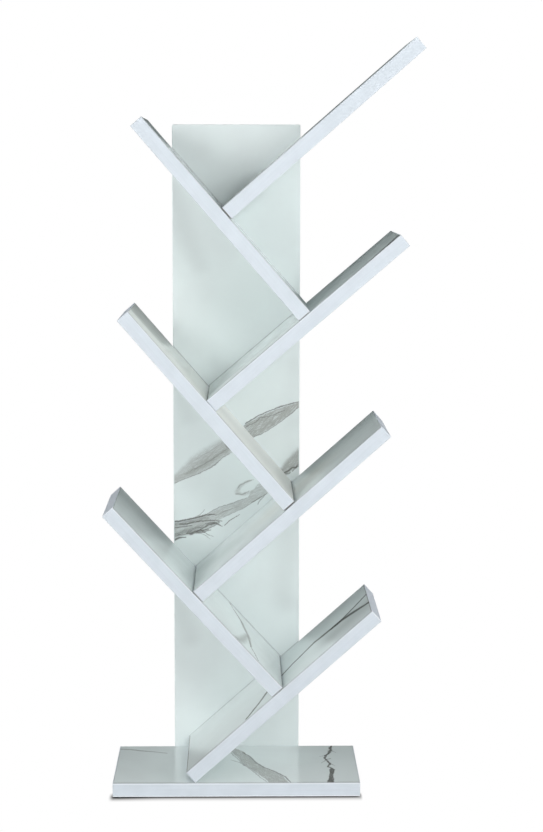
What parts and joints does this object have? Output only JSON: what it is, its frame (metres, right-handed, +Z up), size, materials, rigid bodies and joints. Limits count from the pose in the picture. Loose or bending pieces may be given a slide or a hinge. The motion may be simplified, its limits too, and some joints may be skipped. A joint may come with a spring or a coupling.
{
  "type": "tree shaped bookshelf",
  "caption": "Free-standing tree shaped bookshelf: slanted white marble-look boards zigzag up a narrow back panel from a level base, with V pockets that hold books and small things.",
  "frame": {"origin": "on the floor, under the middle of the whole width and depth", "axes": "+Z up, front towards -Y, +X to the right seen from the front"},
  "size_m": [0.399, 0.178, 0.954],
  "materials": {
    "marble_laminate": "satin white marble-look laminate with grey veins on chipboard",
    "edge_band": "satin bluish-white edge band",
    "screw_steel": "zinc plated",
    "dowel_beech": "raw beech",
    "foot_pad": "matt"
  },
  "bodies": {
    "root": {"base_board": "marble_laminate", "back_panel": "marble_laminate", "shelf_right_4": "marble_laminate", "shelf_left_3": "marble_laminate", "shelf_right_3": "marble_laminate", "shelf_left_2": "marble_laminate", "shelf_right_2": "marble_laminate", "shelf_left_1": "marble_laminate", "shelf_right_1": "marble_laminate", "base_edging": "edge_band", "back_panel_edging": "edge_band", "shelf_right_4_edging": "edge_band", "shelf_left_3_edging": "edge_band", "shelf_right_3_edging": "edge_band", "shelf_left_2_edging": "edge_band", "shelf_right_2_edging": "edge_band", "shelf_left_1_edging": "edge_band", "shelf_right_1_edging": "edge_band", "panel_screws": "screw_steel", "joint_dowels": "dowel_beech", "foot_pads": "foot_pad"}
  },
  "joints": []
}
